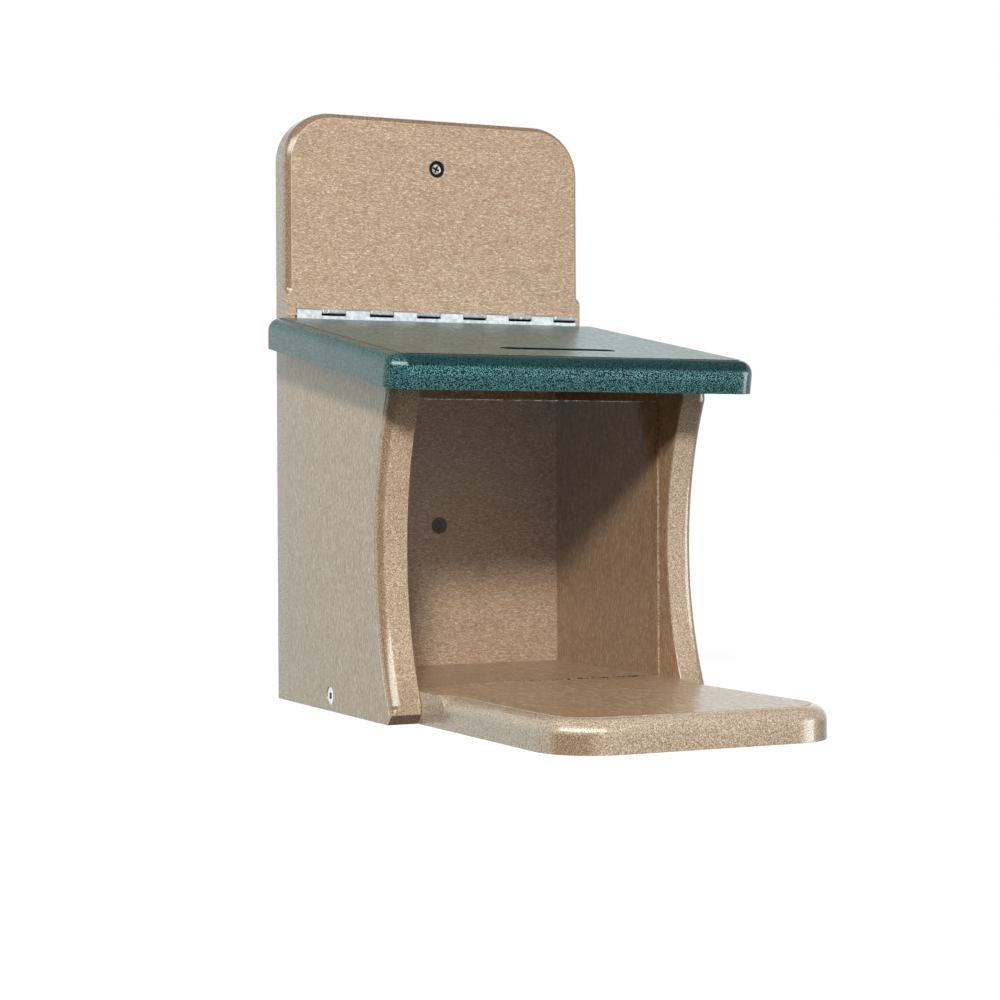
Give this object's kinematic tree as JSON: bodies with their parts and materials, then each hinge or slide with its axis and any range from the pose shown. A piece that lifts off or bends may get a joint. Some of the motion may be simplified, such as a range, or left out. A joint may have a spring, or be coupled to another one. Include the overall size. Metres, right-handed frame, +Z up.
{
  "type": "squirrel feeder box",
  "caption": "Wall-mounted squirrel feeder box with a tall back board, hinged sloping lid, scooped side panels, clear front pane and a long platform",
  "frame": {"origin": "on the surface that the box stands on, in the middle of the footprint of the whole box with its mounting screw's end", "axes": "+Z up the back board, -Y out of the front where the platform runs, +X to the right as seen from the front"},
  "size_m": [0.1826, 0.2978, 0.2882],
  "materials": {
    "tan_board": "matt recycled plastic board with a fine grained surface",
    "green_board": "satin recycled plastic board with a fine grained surface",
    "clear_sheet": "clear acrylic with polished faces and sawn edges",
    "hinge_metal": "bright rolled metal",
    "screw_metal": "bright zinc plate"
  },
  "bodies": {
    "box": {"back_board": "tan_board", "left_side_panel": "tan_board", "right_side_panel": "tan_board", "floor_platform": "tan_board", "hinge_board_leaf": "hinge_metal", "hinge_pin": "hinge_metal", "hinge_board_screws": "screw_metal", "upper_mounting_screw": "screw_metal", "left_floor_screw": "screw_metal", "right_floor_screw": "screw_metal", "left_side_rear_screws": "screw_metal", "right_side_rear_screws": "screw_metal", "floor_rear_screws": "screw_metal"},
    "lid": {"roof_lid": "green_board", "hinge_lid_leaf": "hinge_metal", "hinge_lid_screws": "screw_metal"},
    "pane": {"front_pane": "clear_sheet"}
  },
  "joints": [
    {"name": "lid_hinge", "type": "hinge", "parent": "box", "child": "lid", "pos_m": [0, 0.11415, 0.18971], "axis": [-1, 0, 0], "range_deg": [0, 100]},
    {"name": "pane_slide", "type": "slide", "parent": "box", "child": "pane", "axis": [0, 0, 1], "range_m": [0, 0.009]}
  ]
}
